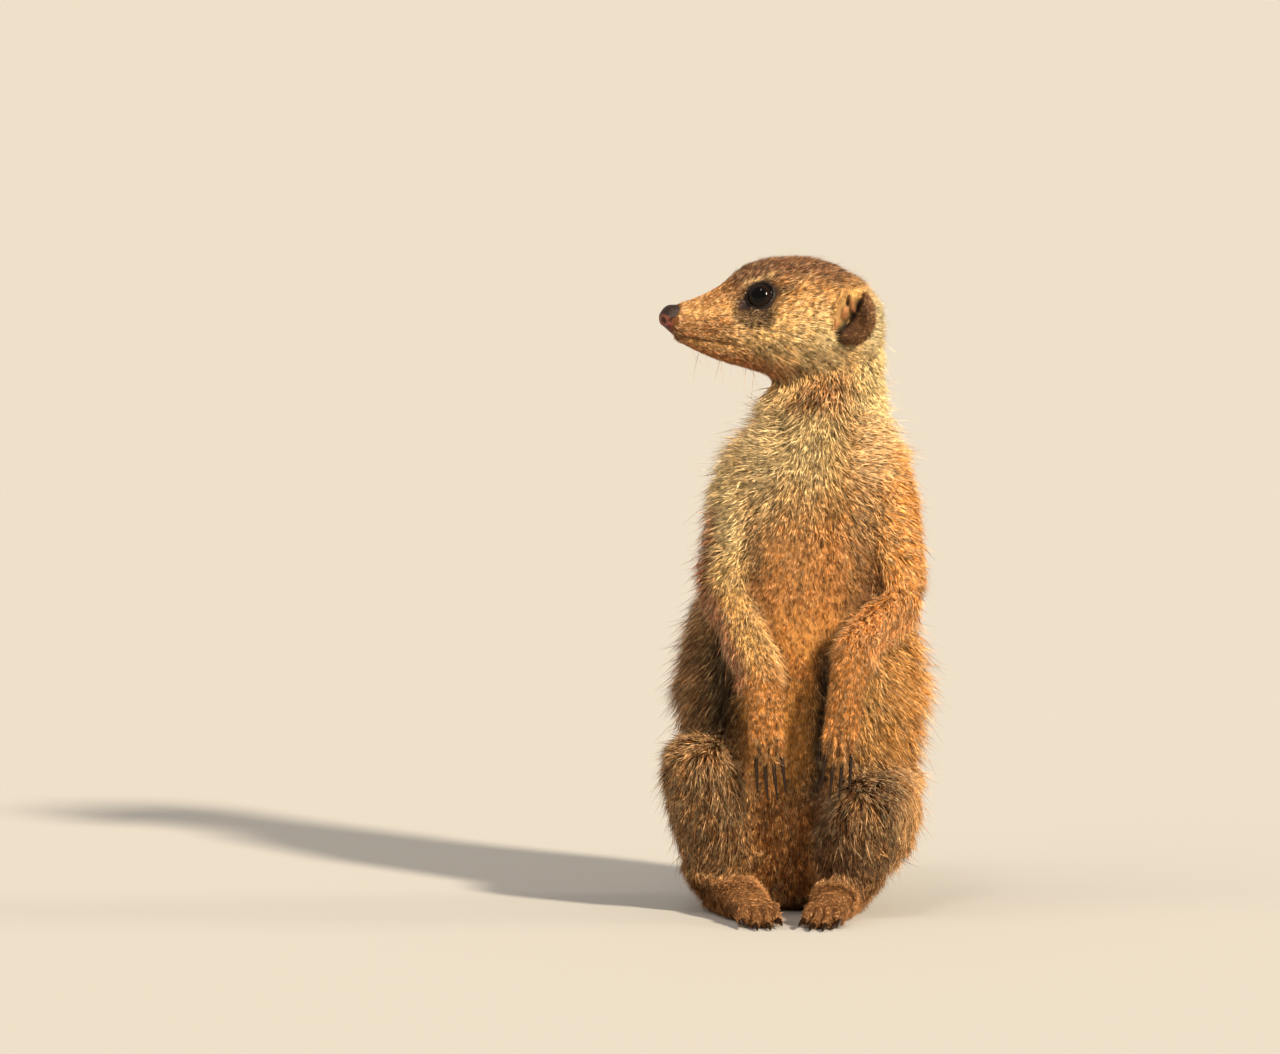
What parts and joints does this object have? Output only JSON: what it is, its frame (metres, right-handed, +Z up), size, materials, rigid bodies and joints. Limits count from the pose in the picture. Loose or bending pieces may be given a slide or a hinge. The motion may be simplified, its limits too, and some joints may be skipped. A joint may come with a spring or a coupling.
{
  "type": "meerkat",
  "caption": "Life-size still model of a meerkat sitting upright on its haunches, head turned aside, paws hanging before the belly and tail laid out behind.",
  "frame": {"origin": "centre line of the rump's flat on the floor, under the sitting body", "axes": "+Z up, -Y the way the chest faces, +X the animal's left"},
  "size_m": [0.0967, 0.3093, 0.235],
  "materials": {
    "body_coat": "banded buff and grey-brown fur",
    "head_coat": "short golden-buff fur",
    "limb_coat": "short orange-gold fur",
    "tail_coat": "tan fur with a dark tip",
    "ear": "thinly haired dark skin",
    "nose": "moist pebbled skin",
    "eye": "wet and clear",
    "claw": "satin horn"
  },
  "bodies": {
    "root": {"trunk": "body_coat", "neck": "body_coat", "head": "head_coat", "jaw": "head_coat", "nose": "nose", "eye_left": "eye", "eye_right": "eye", "ear_left": "ear", "ear_right": "ear", "upper_arm_left": "limb_coat", "forearm_left": "limb_coat", "hand_left": "limb_coat", "upper_arm_right": "limb_coat", "forearm_right": "limb_coat", "hand_right": "limb_coat", "thigh_left": "body_coat", "shank_left": "body_coat", "foot_left": "limb_coat", "thigh_right": "body_coat", "shank_right": "body_coat", "foot_right": "limb_coat", "tail_base": "tail_coat", "tail_middle": "tail_coat", "tail_tip": "tail_coat", "hand_claw_left_1": "claw", "hand_claw_left_2": "claw", "hand_claw_left_3": "claw", "hand_claw_left_4": "claw", "hand_claw_right_1": "claw", "hand_claw_right_2": "claw", "hand_claw_right_3": "claw", "hand_claw_right_4": "claw", "foot_claw_left_1": "claw", "foot_claw_left_2": "claw", "foot_claw_left_3": "claw", "foot_claw_left_4": "claw", "foot_claw_right_1": "claw", "foot_claw_right_2": "claw", "foot_claw_right_3": "claw", "foot_claw_right_4": "claw"}
  },
  "joints": []
}
